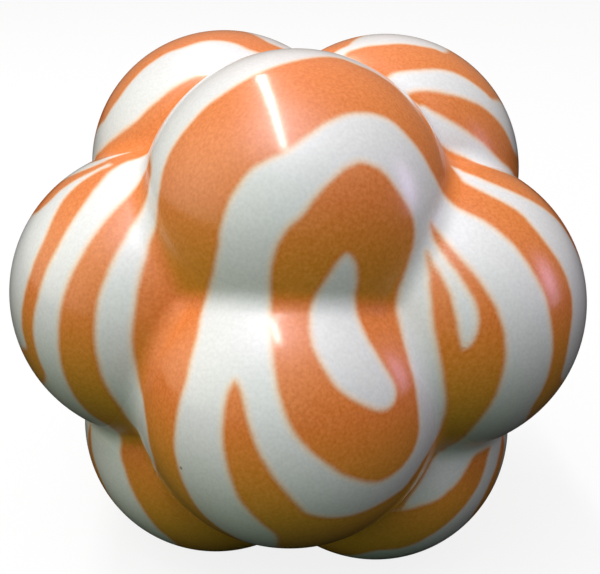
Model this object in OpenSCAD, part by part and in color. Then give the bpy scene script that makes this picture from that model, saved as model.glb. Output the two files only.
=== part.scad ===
/* [Ball] */
// Distance across two opposite lobes
ball_d = 70; // [55:1:80]
// Radius of the round end of each lobe
lobe_r = 16.6; // [15:0.2:18]
// Radius of the rounded valley between two lobes
valley_r = 2.5; // [1:0.1:4]

/* [Surface] */
// Rows of facets from the top of a lobe to its valleys
rows = 9; // [5:1:9]
// How much closer the rows lie near the valleys, where 1 spaces them evenly
crowding = 1.3; // [1:0.1:1.8]

/* [Hidden] */

// One lobe lies on each corner of an icosahedron, round the centre of the ball
golden = (1 + sqrt(5)) / 2;
lobe_h = ball_d / 2 - lobe_r;
half_edge = lobe_h / norm([1, golden]);
lobes = [
    for (s = [-1, 1], t = [-1, 1])
        each half_edge * [[0, s, t * golden], [s, t * golden, 0], [t * golden, 0, s]]
];

// Three lobes that touch each other make a face, listed anticlockwise as seen from outside
faces = [
    for (i = [0:11], j = [i + 1:11], k = [j + 1:11])
        if (are_near(i, j) && are_near(j, k) && are_near(i, k))
            cross(lobes[j] - lobes[i], lobes[k] - lobes[i]) * lobes[i] > 0 ? [i, j, k] : [i, k, j]
];

// Turn about X that brings one face level underneath, for the ball to rest on
rest_turn = atan(pow(golden, 2));

// The valleys are what a small ball can't reach when it rolls over the lobes.
// Its centre stays this far from the lobes that it touches.
roll_r = lobe_r + valley_r;
// Between two lobes its centre runs along a circle of this radius
track_r = sqrt(pow(roll_r, 2) - pow(half_edge, 2));
// Depth of the pits, where the surface is nearest to the ball's centre
floor_r = norm(pit_seat(lobes[faces[0][0]], lobes[faces[0][1]], lobes[faces[0][2]])) - valley_r;
// Steps from there out to the surface, each of which leaves under half of the way
steps_out = 24;
// Points that lie closer together than this are one point
weld = 1e-6;

function are_near(i, j) = norm(lobes[i] - lobes[j]) < 2.1 * half_edge;

function unit(v) = v / norm(v);

// Where the small ball's centre lies when it touches three lobes at once
function pit_seat(a, b, c) =
    let (mid = (a + b + c) / 3)
    mid + sqrt(pow(roll_r, 2) - pow(norm(a - mid), 2)) * unit(mid);

// Place on the circular track between lobes a and b that is nearest to p
function track_seat(p, a, b) =
    let (
        mid = (a + b) / 2,
        along = unit(b - a),
        off = p - mid
    )
    mid + track_r * unit(off - (off * along) * along);

// Place for the small ball's centre that is nearest to p, with a the nearest lobe and c the third
function roll_seat(p, a, b, c) =
    let (
        on_lobe = a + roll_r * unit(p - a),
        on_track = track_seat(p, a, b)
    )
    norm(on_lobe - b) >= roll_r ? on_lobe
        : norm(on_track - c) >= roll_r ? on_track
        : pit_seat(a, b, c);

// Distance from the centre to the surface along dir, found by steps outwards from the pits' depth
function surface_r(dir, a, b, c, r = floor_r, step = 0) =
    step == steps_out ? r
        : let (gap = norm(roll_seat(r * dir, a, b, c) - r * dir) - valley_r)
            surface_r(dir, a, b, c, r + gap, step + 1);

// Facet rows run from a lobe's top, at 0, to its valley, at 1
function row_at(n) = 1 - pow(1 - n / rows, crowding);

// Weight of the face's own lobe and of the next two, at row u towards one valley and v towards the other
function weights(u, v) =
    let (
        next = u * (1 - v) / 2 + u * v / 3,
        last = v * (1 - u) / 2 + u * v / 3
    )
    [1 - next - last, next, last];

// Surface point of lobe n of a face, in its kite between the two valleys that meet in a pit
function kite_point(face, n, u, v) =
    let (
        own = lobes[face[n]],
        next = lobes[face[(n + 1) % 3]],
        last = lobes[face[(n + 2) % 3]],
        w = weights(u, v),
        dir = unit(w[0] * own + w[1] * next + w[2] * last),
        r = w[1] > w[2] ? surface_r(dir, own, next, last) : surface_r(dir, own, last, next)
    )
    weld * [for (x = r * dir) round(x / weld)];

kite_points = pow(rows + 1, 2);

function kite_corner(first, i, j) = first + i * (rows + 1) + j;

module lobed_skin() {
    points = [
        for (face = faces, n = [0:2], i = [0:rows], j = [0:rows])
            kite_point(face, n, row_at(i), row_at(j))
    ];
    facets = [
        for (kite = [0:3 * len(faces) - 1], i = [0:rows - 1], j = [0:rows - 1])
            let (
                first = kite * kite_points,
                p00 = kite_corner(first, i, j),
                p10 = kite_corner(first, i + 1, j),
                p01 = kite_corner(first, i, j + 1),
                p11 = kite_corner(first, i + 1, j + 1)
            )
            each [[p00, p11, p10], [p00, p01, p11]]
    ];
    polyhedron(points, facets);
}

module ball() {
    color("darkorange")
        rotate([rest_turn, 0, 0])
            lobed_skin();
}

ball();
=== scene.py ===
import itertools
import math

import bpy
import numpy as np
from mathutils import Matrix, Vector
from mathutils.bvhtree import BVHTree


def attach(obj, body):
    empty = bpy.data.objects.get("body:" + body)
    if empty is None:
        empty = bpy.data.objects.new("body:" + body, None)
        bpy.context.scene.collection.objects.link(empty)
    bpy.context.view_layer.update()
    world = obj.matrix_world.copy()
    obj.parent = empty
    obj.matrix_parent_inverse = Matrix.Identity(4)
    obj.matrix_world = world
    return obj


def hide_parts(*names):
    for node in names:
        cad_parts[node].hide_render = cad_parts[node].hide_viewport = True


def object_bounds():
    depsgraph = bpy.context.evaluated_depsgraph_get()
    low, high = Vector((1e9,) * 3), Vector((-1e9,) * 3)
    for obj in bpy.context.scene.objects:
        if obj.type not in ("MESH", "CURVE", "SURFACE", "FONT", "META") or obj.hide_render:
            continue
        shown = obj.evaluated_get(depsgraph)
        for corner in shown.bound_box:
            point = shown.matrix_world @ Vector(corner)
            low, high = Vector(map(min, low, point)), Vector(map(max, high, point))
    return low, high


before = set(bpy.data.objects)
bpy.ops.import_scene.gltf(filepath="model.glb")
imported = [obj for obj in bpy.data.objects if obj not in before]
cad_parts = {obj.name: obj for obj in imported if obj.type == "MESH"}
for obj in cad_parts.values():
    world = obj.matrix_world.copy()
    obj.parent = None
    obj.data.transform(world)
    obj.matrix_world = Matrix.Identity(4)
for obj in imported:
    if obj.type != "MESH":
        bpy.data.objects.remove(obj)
cad_box = [list(corner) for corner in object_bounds()]

# Sizes of the ball in metres, the same as in the construction
BALL_D = 0.070
LOBE_R = 0.0166
VALLEY_R = 0.0025
GOLDEN = (1 + math.sqrt(5)) / 2
LOBE_H = BALL_D / 2 - LOBE_R
HALF_EDGE = LOBE_H / math.hypot(1, GOLDEN)
ROLL_R = LOBE_R + VALLEY_R
TRACK_R = math.sqrt(ROLL_R**2 - HALF_EDGE**2)
REST_TURN = math.atan(GOLDEN**2)

MM_PER_M = 1000
# Two lobes whose centres lie closer together than this are neighbours
NEIGHBOUR_GAP = 2.1 * HALF_EDGE

# Rows of faces from the top of a lobe to its valleys, and how much they crowd towards the valleys
ROWS = 36
CROWDING = 1.15
# Steps from the depth of the pits out to the surface
STEPS_OUT = 24
# Points that lie closer together than this are one point
WELD = 1e-7

# The camera stands where the photograph's stood, seen from the middle of the ball
CAMERA_AZIMUTH = math.radians(2.80)
CAMERA_ELEVATION = math.radians(22.61)
CAMERA_ROLL = math.radians(1.03)
CAMERA_DISTANCE = 0.10776
CAMERA_LENS = 51.34
CAMERA_SHIFT_Y = 0.0132
SENSOR_WIDTH = 36.0
CAMERA_CLIP = (0.005, 20)
PHOTO_SIZE = (600, 574)


# Shape of the ball


def unit(v):
    return v / np.linalg.norm(v, axis=-1, keepdims=True)


def lobe_centres():
    """Corners of an icosahedron, turned so that one face lies level underneath."""
    signs = [(s, t * GOLDEN) for s in (-1, 1) for t in (-1, 1)]
    flat = [p for s, t in signs for p in ((0, s, t), (s, t, 0), (t, 0, s))]
    turn = Matrix.Rotation(REST_TURN, 3, "X")
    return HALF_EDGE * np.array([turn @ Vector(p) for p in flat])


LOBES = lobe_centres()


def roll_seats(p, a, b, c):
    """Nearest places to the points p for the centre of the small ball that rolls over the lobes a, b and c."""
    on_lobe = a + ROLL_R * unit(p - a)
    middle = (a + b) / 2
    along = unit(b - a)
    off = p - middle
    on_track = middle + TRACK_R * unit(off - (off * along).sum(-1, keepdims=True) * along)
    centre = (a + b + c) / 3
    rise = np.sqrt(ROLL_R**2 - ((a - centre) ** 2).sum(-1, keepdims=True))
    in_pit = centre + rise * unit(centre)
    lobe_free = np.linalg.norm(on_lobe - b, axis=-1, keepdims=True) >= ROLL_R
    track_free = np.linalg.norm(on_track - c, axis=-1, keepdims=True) >= ROLL_R
    return np.where(lobe_free, on_lobe, np.where(track_free, on_track, in_pit))


def on_ball(directions):
    """Points of the ball's surface in these directions from its centre."""
    d = unit(np.asarray(directions, float))
    nearest = np.argsort(-(d @ LOBES.T), axis=1)[:, :3]
    a, b, c = (LOBES[nearest[:, n]] for n in range(3))
    face_h = np.linalg.norm(a + b + c, axis=-1, keepdims=True).max() / 3
    pit_rise = math.sqrt(ROLL_R**2 - 4 * HALF_EDGE**2 / 3)
    r = np.full((len(d), 1), face_h + pit_rise - VALLEY_R)
    for _ in range(STEPS_OUT):
        p = r * d
        r += np.linalg.norm(roll_seats(p, a, b, c) - p, axis=-1, keepdims=True) - VALLEY_R
    return r * d


def kite_directions():
    """Grid of directions over the sixty kites, each between one lobe, two valleys and a pit."""
    gaps = np.linalg.norm(LOBES[:, None] - LOBES[None], axis=-1)
    touching = (gaps < NEIGHBOUR_GAP) & (gaps > 0)
    row = 1 - (1 - np.arange(ROWS + 1) / ROWS) ** CROWDING
    u, v = np.meshgrid(row, row, indexing="ij")
    u, v = u[..., None], v[..., None]
    # Weights of the kite's own lobe and of the next two, at row u towards one valley and v towards the other
    towards_next = u * (1 - v) / 2 + u * v / 3
    towards_last = v * (1 - u) / 2 + u * v / 3
    own = 1 - towards_next - towards_last
    grids = []
    for i, j, k in itertools.permutations(range(len(LOBES)), 3):
        anticlockwise = np.cross(LOBES[j] - LOBES[i], LOBES[k] - LOBES[i]) @ LOBES[i] > 0
        if anticlockwise and touching[i, j] and touching[j, k] and touching[i, k]:
            grids.append(own * LOBES[i] + towards_next * LOBES[j] + towards_last * LOBES[k])
    return np.array(grids)


def ball_mesh():
    """Closed mesh of quads over the whole surface."""
    grids = kite_directions()
    points = on_ball(grids.reshape(-1, 3))
    keys = np.round(points / WELD).astype(np.int64)
    _, first, index = np.unique(keys, axis=0, return_index=True, return_inverse=True)
    index = index.reshape(grids.shape[:3])
    corners = points[first]
    # The solid's facets cut its curves a little short, and this keeps the finer skin inside its box
    corners *= min(1, (np.ptp(cad_box, axis=0) / np.ptp(corners, axis=0)).min())
    quads = np.stack(
        [index[:, :-1, :-1], index[:, 1:, :-1], index[:, 1:, 1:], index[:, :-1, 1:]], axis=-1
    ).reshape(-1, 4)
    mesh = bpy.data.meshes.new("ball_skin")
    mesh.from_pydata(corners.tolist(), [], quads.tolist())
    mesh.shade_smooth()
    mesh.update()
    return mesh


# Camera


def heading(azimuth, elevation):
    """Unit vector with this azimuth from the front and this elevation, in radians."""
    level = math.cos(elevation)
    return Vector((math.sin(azimuth) * level, -math.cos(azimuth) * level, math.sin(elevation)))


def camera_axes():
    """Right, up and back of the camera, as unit vectors."""
    back = heading(CAMERA_AZIMUTH, CAMERA_ELEVATION)
    level = Vector((math.cos(CAMERA_AZIMUTH), math.sin(CAMERA_AZIMUTH), 0))
    upright = back.cross(level)
    right = math.cos(CAMERA_ROLL) * level + math.sin(CAMERA_ROLL) * upright
    up = math.cos(CAMERA_ROLL) * upright - math.sin(CAMERA_ROLL) * level
    return right, up, back


RIGHT, UP, BACK = camera_axes()
EYE = BACK * CAMERA_DISTANCE


def add_object(name, data):
    """New object in the scene, with this mesh, camera or lamp."""
    made = bpy.data.objects.new(name, data)
    bpy.context.scene.collection.objects.link(made)
    return made


def make_camera():
    data = bpy.data.cameras.new("camera")
    data.lens = CAMERA_LENS
    data.sensor_width = SENSOR_WIDTH
    data.shift_y = CAMERA_SHIFT_Y
    data.clip_start, data.clip_end = CAMERA_CLIP
    camera = add_object("camera", data)
    turn = Matrix((RIGHT, UP, BACK)).transposed().to_4x4()
    camera.matrix_world = Matrix.Translation(EYE) @ turn
    bpy.context.scene.camera = camera


def sight_line(x, y):
    """Direction from the camera through a pixel of the photograph."""
    width, height = PHOTO_SIZE
    focal = CAMERA_LENS / SENSOR_WIDTH * width
    across = (x - width / 2) / focal
    down = (y - height / 2 - CAMERA_SHIFT_Y * width) / focal
    return (RIGHT * across - UP * down - BACK).normalized()


# Stripes


def far(clock, lean):
    """Direction from the ball's centre, by two angles in degrees.

    The clock angle goes round the middle of the picture, with 0 at the top. The lean goes away from the camera,
    with 180 behind the ball.
    """
    clock, lean = math.radians(clock), math.radians(lean)
    return math.cos(lean) * BACK + math.sin(lean) * (math.cos(clock) * UP + math.sin(clock) * RIGHT)


# Outlines of fields of one colour. Most of their points are pixels of the photograph, and far() gives those that
# the photograph doesn't show.
ARCH = [
    (345, 60), (330, 57), (312, 58), (292, 62), (270, 69), (250, 78), (230, 90), (210, 104), (193, 121),
    (180, 137), (170, 153), (163, 172), (159, 195), (157, 220), (151, 240), (146, 260), (140, 280), (136, 305),
    (133, 335), (135, 360), (140, 385), (144, 405), (147, 425), (150, 445), (155, 463), (158, 475),
    far(217, 52), far(214, 62), far(207, 70), far(199, 74), far(192, 71), far(191, 62), far(192, 54),
    far(195, 49), (222, 530), (209, 520), (199, 510), (190, 497), (182, 480), (176, 460), (174, 445),
    (176, 420), (180, 400), (186, 380), (191, 357), (197, 335), (202, 310), (208, 290), (213, 270), (217, 250),
    (220, 230), (226, 208), (236, 188), (250, 170), (267, 159), (285, 151), (303, 138), (322, 125), (340, 116),
    (357, 112), (375, 114), (392, 121), (408, 136), (421, 152), (431, 170), (440, 187), (450, 201), (465, 211),
    (485, 221), (505, 236), (520, 252), (533, 272), (543, 290), (550, 315), (553, 340), (552, 360), (547, 379),
    (540, 395), (531, 410), far(120, 62), far(119, 70), far(116, 80), far(110, 84), far(106, 80), far(107, 70),
    far(108, 62), (561, 378), (565, 360), (569, 338), (572, 310), (570, 290), (562, 268), (550, 249),
    (535, 230), (520, 213), (500, 201), (480, 191), (465, 183), (457, 174), far(47, 46), far(42, 45.5),
    far(36, 44.5), far(29, 44.5), far(22, 45), far(17, 45), (356, 64.5),
]
RING = [
    (360, 163), (345, 170), (330, 183), (316, 198), (302, 216), (287, 231), (277, 248), (272, 268), (271, 290),
    (271, 315), (272, 340), (275, 370), (280, 395), (290, 424), (305, 445), (326, 463), (350, 477), (375, 482),
    (395, 473), (410, 456), (418, 435), (418, 410), (414, 382), (407, 356), (401, 333), (396, 310), (398, 290),
    (406, 267), (412, 248), (414, 227), (408, 208), (397, 190), (385, 174), (372, 166),
]
RING_ISLAND = [
    (348, 253), (338, 260), (328, 275), (317, 292), (310, 310), (309, 328), (314, 350), (325, 372), (339, 390),
    (360, 404), (382, 411), (394, 404), (396, 390), (391, 376), (381, 360), (368, 338), (359, 318), (356, 300),
    (358, 280), (356, 263),
]
HOOK = [
    (235, 381), (228, 394), (224, 415), (224, 445), (231, 478), (241, 501), (258, 520), (277, 536),
    far(185, 49), far(184.5, 57), far(183.5, 66), far(178, 71), far(168, 66), far(161, 59), (400, 509),
    (408, 498), (417, 486), (425, 473), (431, 462), (438, 451), (434, 446), (427, 455), (420, 466), (412, 478),
    (403, 489), (392, 497), (380, 504), (366, 511), (350, 516), (330, 518), (308, 514), (293, 501), (274, 478),
    (260, 455), (250, 430), (244, 405), (240, 390),
]
FORK = [
    (431, 223), (441, 237), (455, 253), (470, 270), (484, 288), (496, 309), (503, 331), (505, 355), (500, 382),
    (490, 405), (474, 426), (455, 443), (440, 451), (430, 452), (438, 435), (446, 410), (445, 385), (440, 355),
    (434, 325), (431, 295), (429, 272), (427, 253), (434, 265), (444, 282), (452, 303), (457, 328), (461, 347),
    (466, 349), (475, 339), (479, 322), (476, 303), (466, 285), (452, 265), (440, 248), (434, 237),
]
SIDE_BAND = [
    (150, 155), (148, 164), (144, 174), (138, 185), (122, 203), (107, 220), (92, 240), (80, 260), (70, 280),
    (62, 305), (59, 335), (62, 366), (73, 393), (92, 415), (110, 426), (119, 433), (121, 450), (126, 472),
    (134, 493), (146, 513), (160, 530), (170, 538), far(206, 80), far(206, 88), far(194, 88), far(190, 80),
    far(190, 71), far(195, 63), far(204, 57), far(213, 52), (158, 476), (152, 463), (147, 452), (135, 428),
    (118, 404), (104, 382), (96, 355), (94, 330), (97, 303), (107, 272), (119, 248), (131, 227), (141, 211),
    (147, 196), (149.5, 182), (151, 168),
]
LIMB_BAND = [
    (203, 75), (185, 82), (165, 95), (148, 110), (135, 123), (118, 136), (108, 144), (101, 151), far(303.5, 76),
    far(300, 75), far(300, 68), far(303, 61), (112, 164), (100, 170.5), (90, 176.5), (78, 185), (65, 198),
    (52, 222), (43, 243), (34, 264), (26, 290), (22, 315), (23, 332), (27, 347), far(259, 61), far(260, 72),
    far(253, 72), far(251, 63), (45, 376), (39, 360), (34, 342), (33, 322), (37, 300), (44, 276), (56, 250),
    (68, 228), (81, 208), (96, 187), (110, 171), (128, 161), (143, 156), (149, 151), far(317, 51), far(323, 53),
    far(330, 55), far(336, 57), far(339, 59),
]
LIMB_THREAD = [
    (120, 157), (108, 160.5), (98, 164.5), (88, 168.5), far(298.5, 59.5), far(295.5, 64), far(291.5, 70),
    far(286.5, 76), far(280, 81), far(282.5, 75), far(285.5, 67), (37, 212), (44, 206), (52, 198.5),
    (60, 190.5), (70, 183.5), (80, 177.5), (90, 172.5), (100, 167.5), (110, 162.5),
]
CROWN = [
    (104, 121), (111, 109), (119, 98), (131, 82), (147, 66), (165, 54), (184, 47), (205, 41), (224, 41),
    (240, 45), (251, 50), far(354, 67.5), far(0, 68), far(5, 68.5), (340, 49), (347, 46), (352, 42), (356, 39),
    far(14.5, 80), far(16.5, 86), far(15, 91), far(9, 91), far(6, 85), far(2, 79), far(357.5, 75.3), (271, 44),
    (262, 39), (252, 34), far(345, 84), far(335, 87), far(322, 90), far(311, 93), far(303, 91), far(307, 82),
    far(311, 76),
]
SHOULDER = [
    (347, 53), (358, 49), (370, 46), (383, 45), (400, 44), (418, 46), (434, 49), (446, 53), far(31, 80),
    far(30, 86), far(30, 92), far(38, 94), far(46, 90), far(47, 84), far(46, 78), (493, 99), (487, 94),
    (475, 84), (460, 75), (445, 70), (425, 69), (405, 71), (391, 74), far(21, 57), far(18, 56), far(15, 57.5),
    far(12.5, 61.5), far(10.8, 65.5),
]
SHOULDER_LOWER = [
    (411, 93), (422, 91), (436, 92), (450, 95), (464, 99), (478, 105), (490, 113), (500, 124), (508, 137),
    (514, 152), far(58, 79), far(60, 85), far(64, 84), far(63, 76), (511, 170), (503, 163), (492, 152),
    (478, 139), (464, 129), (449, 120), (434, 112), (424, 105.5), far(32, 54.5), far(29, 54.5),
]
TEMPLE = [
    (450, 151), (458, 155), (470, 160), (485, 166), (500, 171), (513, 176), far(64, 64), far(70, 66),
    far(77, 69), far(83, 75), far(92, 75), far(88, 67), far(83, 61), (563, 227), (555, 217.5), (545, 209),
    (532, 201), (518, 194), (503, 187.5), (485, 180), (466, 172.5), (457, 168), far(48, 44), far(41, 43),
    far(41, 47), far(43.5, 51),
]
HEEL = [
    (490, 447), (480, 452), (472, 459), (466, 470), (459, 481), (450, 490), (437, 500), (420, 506), (404, 510),
    far(159, 59), far(168, 60), far(177, 62), far(183.5, 68), far(183.5, 77), far(178, 83), far(171, 79),
    (372, 551), (400, 548), (420, 541), (438, 530), (455, 516), (468, 501), (478, 485), (484, 470), (487, 458),
]
# The thin white line in the valley at the left, and its widths at both ends in millimetres
CREASE = [far(292, 74), far(296, 67), far(300, 61), (96, 163), (106, 159), (117, 155.5), (129, 152.5)]
CREASE_WIDTHS = (3.6, 0.3)

ORANGE_OUTLINES = [
    ARCH, RING, HOOK, FORK, SIDE_BAND, LIMB_BAND, LIMB_THREAD, CROWN, SHOULDER, SHOULDER_LOWER, TEMPLE, HEEL,
]
WHITE_OUTLINES = [RING_ISLAND]

# Strokes behind the ball, which carry on from the fields that run over its edge in the photograph. Each point
# holds the two angles of far() and the width of the line there in millimetres.
CROWN_TO_LIMB = [
    (309, 85, 6.5), (300, 91, 7), (289, 96, 7), (277, 98, 6.5), (266, 95, 6), (259, 87, 5), (256, 78, 4.5),
    (256, 69, 4),
]
CROWN_TO_THREAD = [
    (11.5, 84, 4.6), (12, 90, 5.4), (11, 97, 6), (4, 107, 7), (350, 114, 8), (334, 117, 8), (317, 118, 7.5),
    (300, 118, 7), (284, 119, 7), (268, 119, 7.5), (252, 116, 7), (238, 110, 6), (226, 101, 5), (219, 91, 4),
    (221, 85, 3), (227, 80.5, 2.2), (234, 78.5, 1.6), (239, 75, 0),
]
SHOULDER_TO_SIDE = [
    (39, 81, 10), (38, 91, 9), (32, 104, 8), (20, 118, 8), (0, 129, 8.5), (335, 135, 9), (308, 138, 8),
    (282, 140, 7.5), (256, 138, 8), (234, 130, 8), (216, 118, 8), (206, 104, 8), (201, 93, 8), (199, 84, 8),
]
SHOULDER_TONGUE = [(61, 81, 4.5), (60, 90, 5), (54, 102, 6), (45, 112, 5), (36, 119, 0)]
TEMPLE_TO_HEEL = [
    (86, 70, 6), (89, 79, 7), (87, 91, 8), (81, 104, 8), (72, 117, 8), (60, 130, 9), (38, 143, 9),
    (8, 153, 8.5), (330, 159, 8), (280, 161, 8), (240, 154, 8), (214, 142, 8.5), (196, 128, 8), (184, 112, 7.5),
    (178, 98, 7), (177, 84, 7),
]
ARCH_TONGUE = [
    (113, 74, 9), (111, 84, 9), (110, 95, 8.5), (106, 108, 8), (101, 122, 8), (95, 136, 7.5), (84, 148, 6),
    (60, 157, 0),
]
HEEL_THREAD = [
    (124, 74, 0), (127, 75.5, 1.6), (131, 76, 2), (136, 77, 2.6), (141, 81, 3.6), (145, 91, 5.5),
    (144, 105, 7.5), (138, 120, 8.5), (132, 136, 8), (136, 150, 6), (160, 160, 0),
]
HEEL_ISLAND = [(162, 92, 0), (163, 102, 5), (162, 114, 7), (160, 128, 7), (165, 141, 5), (182, 151, 0)]
ARCH_ISLAND = [(126, 84, 0), (126, 94, 5), (122, 108, 6.5), (117, 124, 6), (112, 138, 0)]
LIMB_ISLAND = [(251, 74, 0), (248, 79, 2.4), (245, 86, 4.6), (242, 94, 4.4), (239, 102, 0)]

ORANGE_STROKES = [
    CROWN_TO_LIMB, CROWN_TO_THREAD, SHOULDER_TO_SIDE, SHOULDER_TONGUE, TEMPLE_TO_HEEL, ARCH_TONGUE, HEEL_THREAD,
    HEEL_ISLAND, ARCH_ISLAND, LIMB_ISLAND,
]

# Steps of a curve between two given points, and about how many vertices are measured at once
CURVE_STEPS = 6
CHUNK = 8000
# These keep a division away from zero
SHORTEST_SPAN = 1e-18
FARTHEST_BACK = 1e-6


def direction_of(point, skin):
    """Direction from the ball's centre to a far point or to what a pixel of the photograph shows."""
    if isinstance(point, Vector):
        return point
    ray = sight_line(*point)
    hit = skin.ray_cast(EYE, ray)[0]
    if hit is None:
        hit = skin.find_nearest(EYE + ray * EYE.dot(-ray))[0]
    return hit.normalized()


def smooth_curve(points, closed):
    """Catmull-Rom curve through points, which may carry a width as a fourth number."""
    points = np.asarray(points, float)
    if not closed:
        points = np.concatenate([2 * points[:1] - points[1:2], points, 2 * points[-1:] - points[-2:-1]])
    before, after, beyond = (np.roll(points, n, axis=0) for n in (1, -1, -2))
    t = (np.arange(CURVE_STEPS) / CURVE_STEPS)[None, :, None]
    p0, p1, p2, p3 = (p[:, None] for p in (before, points, after, beyond))
    curve = 0.5 * (
        2 * p1 + (p2 - p0) * t + (2 * p0 - 5 * p1 + 4 * p2 - p3) * t**2 + (3 * p1 - p0 - 3 * p2 + p3) * t**3
    )
    if closed:
        return curve.reshape(-1, points.shape[1])
    return np.concatenate([curve[1:-2].reshape(-1, points.shape[1]), points[-2:-1]])


def nearest_on(curve, vertices):
    """Distance of each vertex to a curve on the ball, and where on the curve, counted in its points."""
    # The curve's nearest point first, and then the two spans that meet there
    parts = np.array_split(vertices, 1 + len(vertices) // CHUNK)
    nearest = np.concatenate([((curve**2).sum(1) - 2 * part @ curve.T).argmin(1) for part in parts])
    last = len(curve) - 1
    distance, place = np.full(len(vertices), np.inf), np.zeros(len(vertices))
    for start in (np.maximum(nearest - 1, 0), np.minimum(nearest, last - 1)):
        a, span = curve[start], curve[start + 1] - curve[start]
        t = np.clip(((vertices - a) * span).sum(1) / np.maximum((span**2).sum(1), SHORTEST_SPAN), 0, 1)
        gap = np.linalg.norm(vertices - a - t[:, None] * span, axis=1)
        closer = gap < distance
        distance = np.where(closer, gap, distance)
        place = np.where(closer, start + t, place)
    return distance, place


def flatten(directions, middle):
    """Plane picture of the whole ball round one direction, with the opposite direction far outside."""
    side = unit(np.cross(middle, [0.0, 0.0, 1.0]))
    x, y, z = directions @ side, directions @ np.cross(side, middle), directions @ middle
    return np.stack([x, y], 1) / np.maximum(1 + z, FARTHEST_BACK)[:, None]


def inside(points, loop):
    """True for each flat point inside the closed flat loop."""
    result = np.zeros(len(points), bool)
    x, y = points.T
    for (x0, y0), (x1, y1) in zip(loop, np.roll(loop, -1, axis=0)):
        if y0 != y1:
            crosses = (y0 > y) != (y1 > y)
            result ^= crosses & (x < (x1 - x0) * (y - y0) / (y1 - y0) + x0)
    return result


def outline_depth(outline, vertices, skin):
    """Distance of each vertex to an outline, positive inside."""
    loop = unit(smooth_curve([direction_of(point, skin) for point in outline], closed=True))
    distance, _ = nearest_on(on_ball(np.concatenate([loop, loop[:1]])), vertices)
    middle = np.array(BACK)
    within = inside(flatten(unit(vertices), middle), flatten(loop, middle))
    return np.where(within, distance, -distance)


def line_depth(line, vertices):
    """Distance of each vertex to the edge of a line, positive inside.

    Each point of the line is a direction and a width in millimetres.
    """
    line = smooth_curve(line, closed=False)
    half_widths = np.maximum(line[:, 3], 0) / (2 * MM_PER_M)
    distance, place = nearest_on(on_ball(line[:, :3]), vertices)
    return np.interp(place, np.arange(len(line)), half_widths) - distance


def stripe_depth(mesh, skin):
    """Depth inside the orange fields at each vertex, in millimetres, negative on the white."""
    vertices = np.empty(3 * len(mesh.vertices))
    mesh.vertices.foreach_get("co", vertices)
    vertices = vertices.reshape(-1, 3)
    orange = [outline_depth(outline, vertices, skin) for outline in ORANGE_OUTLINES]
    for stroke in ORANGE_STROKES:
        orange.append(line_depth([[*far(clock, lean), width] for clock, lean, width in stroke], vertices))
    white = [outline_depth(outline, vertices, skin) for outline in WHITE_OUTLINES]
    widths = np.linspace(*CREASE_WIDTHS, len(CREASE))
    crease = [[*direction_of(point, skin), width] for point, width in zip(CREASE, widths)]
    white.append(line_depth(crease, vertices))
    return MM_PER_M * np.minimum(np.max(orange, axis=0), -np.max(white, axis=0))


# Material

WHITE = (0.86, 0.86, 0.86)
ORANGE = (0.84, 0.218, 0.037)
DEEP_ORANGE = (0.81, 0.213, 0.027)
# The print's soft edge: depth inside an orange field in millimetres, and the colour there
PRINT_EDGE = [
    (-0.80, WHITE),
    (-0.42, (0.92, 0.83, 0.76)),
    (-0.18, (0.94, 0.69, 0.52)),
    (0.04, (0.87, 0.44, 0.23)),
    (0.32, ORANGE),
]
# The colour ramp runs from this depth on the white's side to the same depth in the orange
EDGE_SPAN = 1.0
# From this depth on the orange has its full drift, painted shade tint and grain
FULL_ORANGE = 0.5
# Strength of the grain in the white and in the orange
WHITE_GRAIN = (0.09, 0.09, 0.09)
ORANGE_GRAIN = (0.14, 0.085, 0.036)
# Painted shade on the sides that face down, an olive and darker tint: what it leaves of the white's and the
# orange's colour, and the slopes between which it sets in
WHITE_PAINTED_SHADE = (0.95, 0.98, 0.92)
ORANGE_PAINTED_SHADE = (0.97, 1.75, 0.85)
PAINTED_SHADE_SLOPES = (0.30, -0.36)
# Patterns per metre: grain, colour drift over the ball, patches of sheen, wavering edge and uneven skin
GRAIN = 3000
DRIFT = 45
SHEEN = 90
WAVER = 500
PEEL = 260
# Detail of the patterns, and the noise levels between which each goes from none to full
GRAIN_DETAIL = 1.0
DRIFT_DETAIL = 3.0
PLAIN_DETAIL = 2.0
GRAIN_LEVELS = (0.25, 0.75)
DRIFT_LEVELS = (0.35, 0.7)
PLAIN_LEVELS = (0.3, 0.7)
# How far the print's edge wavers, in millimetres
WAVER_DEPTH = 0.05
# The uneven skin: strength, and height in metres
PEEL_STRENGTH = 0.05
PEEL_HEIGHT = 0.0004
# One stray speck: its pixel in the photograph, radius in millimetres, colour and cover
SPECK_PIXEL = (181, 468)
SPECK_RADIUS = 0.22
SPECK_COLOUR = (0.20, 0.13, 0.07)
SPECK_COVER = 0.75
# Roughness of the print between its patches of sheen
PRINT_ROUGHNESS = (0.40, 0.50)
# The gloss over the print, on the lobes and down in the hollows, where it is worn dull
COAT_IOR = 1.6
COAT_WEIGHT = (1.0, 0.25)
COAT_ROUGHNESS = (0.145, 0.45)
# Distances from the ball's centre between which the hollows set in, in metres
HOLLOW = (0.0304, 0.0286)

# Sockets of a colour mix: factor, first and second colour, and result
MIX_INPUTS = (0, 6, 7)
MIX_RESULT = 2


def empty_nodes(owner):
    """The node tree of a material or a world, with nothing in it."""
    owner.use_nodes = True
    owner.node_tree.nodes.clear()
    return owner.node_tree


def node(tree, kind, inputs=(), **settings):
    """New node, with a value or a link for each input and other settings by name."""
    made = tree.nodes.new(kind)
    for name, value in settings.items():
        setattr(made, name, value)
    for name, value in dict(inputs).items():
        if isinstance(value, bpy.types.NodeSocket):
            tree.links.new(value, made.inputs[name])
        else:
            made.inputs[name].default_value = value
    return made


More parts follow.
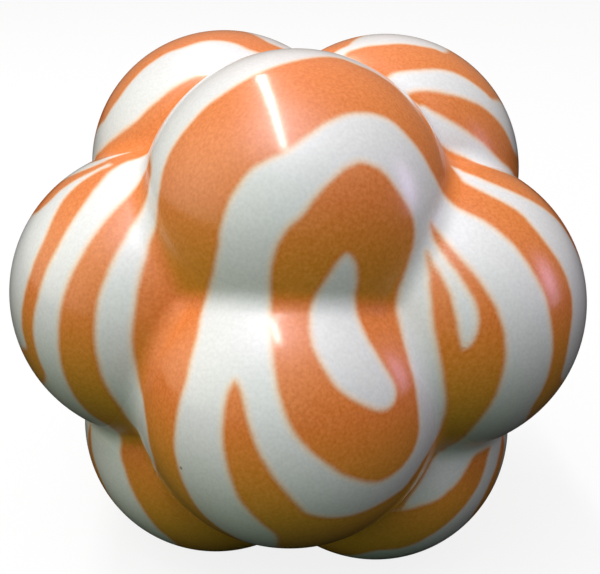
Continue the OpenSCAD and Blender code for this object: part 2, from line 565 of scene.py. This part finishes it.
def noise(tree, place, scale, detail=PLAIN_DETAIL):
    """Noise pattern over the object, from 0 to 1."""
    inputs = {"Vector": place, "Scale": scale, "Detail": detail}
    return node(tree, "ShaderNodeTexNoise", inputs).outputs["Fac"]


def spread(tree, value, low, high, to_low=0.0, to_high=1.0):
    """The value's range from low to high laid out over another range, and cut off there."""
    inputs = {"Value": value, "From Min": low, "From Max": high, "To Min": to_low, "To Max": to_high}
    return node(tree, "ShaderNodeMapRange", inputs).outputs["Result"]


def blend(tree, factor, first, second, how="MIX"):
    """The first colour at a factor of 0, going over to the second at 1."""
    mix = node(tree, "ShaderNodeMix", data_type="RGBA", blend_type=how, clamp_factor=True)
    for index, value in zip(MIX_INPUTS, (factor, first, second)):
        if isinstance(value, bpy.types.NodeSocket):
            tree.links.new(value, mix.inputs[index])
        else:
            mix.inputs[index].default_value = (*value, 1) if index else value
    return mix.outputs[MIX_RESULT]


def maths(tree, operation, *values):
    return node(tree, "ShaderNodeMath", dict(enumerate(values)), operation=operation).outputs["Value"]


def vectors(tree, operation, *values, output="Vector", **named):
    inputs = dict(enumerate(values)) | named
    return node(tree, "ShaderNodeVectorMath", inputs, operation=operation).outputs[output]


def print_colour(tree, place):
    """Orange on white, with a soft edge, painted shade on the sides that face down and the grain of the print.
    """
    stripe = node(tree, "ShaderNodeAttribute", attribute_name="stripe_mm").outputs["Fac"]
    waver = spread(tree, noise(tree, place, WAVER), *PLAIN_LEVELS, -WAVER_DEPTH, WAVER_DEPTH)
    depth = maths(tree, "ADD", stripe, waver)
    ramp = node(tree, "ShaderNodeValToRGB", {"Fac": spread(tree, depth, -EDGE_SPAN, EDGE_SPAN)})
    stops = ramp.color_ramp.elements
    while len(stops) < len(PRINT_EDGE):
        stops.new(0.5)
    for stop, (at, colour) in zip(stops, PRINT_EDGE):
        stop.position = (at + EDGE_SPAN) / (2 * EDGE_SPAN)
        stop.color = (*colour, 1)
    orange = spread(tree, depth, 0.0, FULL_ORANGE)
    drift = spread(tree, noise(tree, place, DRIFT, DRIFT_DETAIL), *DRIFT_LEVELS)
    colour = blend(tree, maths(tree, "MULTIPLY", orange, drift), ramp.outputs["Color"], DEEP_ORANGE)
    # Painted shade: the colour turns olive and darker on the sides that face down, set in by the surface's slope
    shade_tint = blend(tree, orange, WHITE_PAINTED_SHADE, ORANGE_PAINTED_SHADE)
    normal = node(tree, "ShaderNodeNewGeometry").outputs["Normal"]
    slope = node(tree, "ShaderNodeSeparateXYZ", {0: normal}).outputs["Z"]
    painted_shade = blend(tree, 1.0, colour, shade_tint, "MULTIPLY")
    colour = blend(tree, spread(tree, slope, *PAINTED_SHADE_SLOPES), colour, painted_shade)
    grain = spread(tree, noise(tree, place, GRAIN, GRAIN_DETAIL), *GRAIN_LEVELS, -0.5, 0.5)
    strength = blend(tree, orange, WHITE_GRAIN, ORANGE_GRAIN)
    return vectors(tree, "MULTIPLY_ADD", grain, strength, colour)


def with_speck(tree, place, colour, skin):
    """The colour with one small dark speck on it."""
    spot = tuple(on_ball([direction_of(SPECK_PIXEL, skin)])[0])
    away = vectors(tree, "DISTANCE", place, spot, output="Value")
    inner, outer = SPECK_RADIUS / (2 * MM_PER_M), SPECK_RADIUS / MM_PER_M
    cover = spread(tree, away, inner, outer, SPECK_COVER, 0.0)
    return blend(tree, cover, colour, SPECK_COLOUR)


def rubber_material(skin):
    """Printed rubber under a clear gloss that is duller in the hollows."""
    material = bpy.data.materials.new("striped_rubber")
    tree = empty_nodes(material)
    place = node(tree, "ShaderNodeTexCoord").outputs["Object"]
    radius = vectors(tree, "LENGTH", place, output="Value")
    peel = {"Strength": PEEL_STRENGTH, "Distance": PEEL_HEIGHT, "Height": noise(tree, place, PEEL)}
    bump = node(tree, "ShaderNodeBump", peel).outputs["Normal"]
    inputs = {
        "Base Color": with_speck(tree, place, print_colour(tree, place), skin),
        "Roughness": spread(tree, noise(tree, place, SHEEN), *PLAIN_LEVELS, *PRINT_ROUGHNESS),
        "Normal": bump,
        "Coat Weight": spread(tree, radius, *HOLLOW, *COAT_WEIGHT),
        "Coat IOR": COAT_IOR,
        "Coat Roughness": spread(tree, radius, *HOLLOW, *COAT_ROUGHNESS),
        "Coat Normal": bump,
    }
    shader = node(tree, "ShaderNodeBsdfPrincipled", inputs)
    node(tree, "ShaderNodeOutputMaterial", {"Surface": shader.outputs["BSDF"]})
    return material


def make_ball():
    mesh = ball_mesh()
    skin = BVHTree.FromPolygons([v.co for v in mesh.vertices], [tuple(p.vertices) for p in mesh.polygons])
    attribute = mesh.attributes.new("stripe_mm", "FLOAT", "POINT")
    attribute.data.foreach_set("value", stripe_depth(mesh, skin))
    mesh.materials.append(rubber_material(skin))
    ball = add_object("ball_skin", mesh)
    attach(ball, "root")
    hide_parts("ball")


# Floor and light

# The floor's colour for the light that it throws back at the ball
FLOOR_BOUNCE = (0.016, 0.014, 0.013)
# What the camera sees of the floor: a pale glow and a grey that takes the ball's shadow
FLOOR_GLOW = 0.84
FLOOR_SHADE = 0.14
# Half the length of the floor's sides, in metres
FLOOR_HALF = 3.0
# Even light from all sides
HORIZON_LIGHT = (0.050, 0.080, 0.048)
# Soft lobes of light in the sky: azimuth from the front and elevation in degrees, sharpness, and colour
SKY_LOBES = [
    (-26, 68, 12, (2.50, 2.30, 2.70)),
    (-75, 24, 6, (1.16, 1.06, 0.82)),
    (-100, 5, 3, (0.15, 0.15, 0.15)),
    (-25, 25, 6, (0.10, 0.24, 0.14)),
    (0, 26, 20, (0.14, 0.32, 0.28)),
    (45, 55, 10, (0.71, 0.62, 0.69)),
    (91, 20, 10, (0.13, 0.07, 0.06)),
    (120, 50, 6, (0.16, 0.19, 0.10)),
    (180, 35, 4, (0.32, 0.19, 0.16)),
    (180, 75, 6, (0.15, 0.11, 0.22)),
]
# The sky as the camera sees it, which matches the floor far away
SKY_SHOWN = (0.95, 0.95, 0.95)
# A tall pink patch of light at the right, round when heights are squashed by this much
PATCH_SQUASH = 0.5
PATCH = (93, 14, 150, (3.2, 2.2, 3.8))
# Ceiling tube, from over the camera to behind the ball: its height, how far its ends lie to the right and to the
# back for each metre of height, its width and its power
TUBE_HEIGHT = 0.6
TUBE_FRONT = (-0.126, -0.64)
TUBE_REAR = (-0.378, 0.715)
TUBE_WIDTH = 0.042
TUBE_POWER = 2.4


def floor_material():
    """Pale to the camera, and dark to the light that it throws back at the ball."""
    material = bpy.data.materials.new("pale_floor")
    tree = empty_nodes(material)
    seen = node(tree, "ShaderNodeLightPath").outputs["Is Camera Ray"]
    bounce = node(tree, "ShaderNodeBsdfDiffuse", {"Color": (*FLOOR_BOUNCE, 1)})
    lit = node(tree, "ShaderNodeBsdfDiffuse", {"Color": (FLOOR_SHADE, FLOOR_SHADE, FLOOR_SHADE, 1)})
    pale = node(tree, "ShaderNodeEmission", {"Color": (1, 1, 1, 1), "Strength": FLOOR_GLOW})
    shown = node(tree, "ShaderNodeAddShader", {0: lit.outputs[0], 1: pale.outputs[0]})
    mix = node(tree, "ShaderNodeMixShader", {0: seen, 1: bounce.outputs[0], 2: shown.outputs[0]})
    node(tree, "ShaderNodeOutputMaterial", {"Surface": mix.outputs[0]})
    return material


def make_floor():
    level = cad_box[0][2]
    corners = [(x * FLOOR_HALF, y * FLOOR_HALF, level) for x, y in ((-1, -1), (1, -1), (1, 1), (-1, 1))]
    mesh = bpy.data.meshes.new("floor")
    mesh.from_pydata(corners, [], [(0, 1, 2, 3)])
    mesh.materials.append(floor_material())
    floor = add_object("floor", mesh)


def sky_lobe(tree, along, azimuth, elevation, sharpness, colour, squash=1.0):
    """Light from one side of the sky, which fades away from its middle."""
    middle = heading(math.radians(azimuth), math.radians(elevation))
    if squash != 1.0:
        middle.z *= squash
        along = vectors(tree, "NORMALIZE", vectors(tree, "MULTIPLY", along, (1, 1, squash)))
    facing = vectors(tree, "DOT_PRODUCT", along, tuple(middle.normalized()), output="Value")
    fade = maths(tree, "POWER", maths(tree, "MAXIMUM", facing, 0.0), float(sharpness))
    return vectors(tree, "SCALE", colour, Scale=fade)


def make_world():
    world = bpy.data.worlds.new("room")
    tree = empty_nodes(world)
    seen = node(tree, "ShaderNodeLightPath").outputs["Is Camera Ray"]
    along = node(tree, "ShaderNodeTexCoord").outputs["Generated"]
    light = HORIZON_LIGHT
    lobes = [sky_lobe(tree, along, *lobe) for lobe in SKY_LOBES]
    lobes.append(sky_lobe(tree, along, *PATCH, squash=PATCH_SQUASH))
    for lobe in lobes:
        light = vectors(tree, "ADD", light, lobe)
    sky = node(tree, "ShaderNodeBackground", {"Color": light, "Strength": 1.0})
    pale = node(tree, "ShaderNodeBackground", {"Color": (*SKY_SHOWN, 1), "Strength": 1.0})
    mix = node(tree, "ShaderNodeMixShader", {0: seen, 1: sky.outputs[0], 2: pale.outputs[0]})
    node(tree, "ShaderNodeOutputWorld", {"Surface": mix.outputs[0]})
    bpy.context.scene.world = world


def make_tube():
    front = Vector((*TUBE_FRONT, 1)) * TUBE_HEIGHT
    rear = Vector((*TUBE_REAR, 1)) * TUBE_HEIGHT
    along = (rear - front).normalized()
    data = bpy.data.lights.new("tube", "AREA")
    data.shape = "RECTANGLE"
    data.size, data.size_y = TUBE_WIDTH, (rear - front).length
    data.energy = TUBE_POWER
    tube = add_object("tube", data)
    upwards = Vector((0, 0, 1))
    turn = Matrix((along.cross(upwards), along, upwards)).transposed().to_4x4()
    tube.matrix_world = Matrix.Translation((front + rear) / 2) @ turn


make_camera()
make_world()
make_tube()
make_floor()
make_ball()

bpy.context.scene.view_settings.view_transform = "Standard"
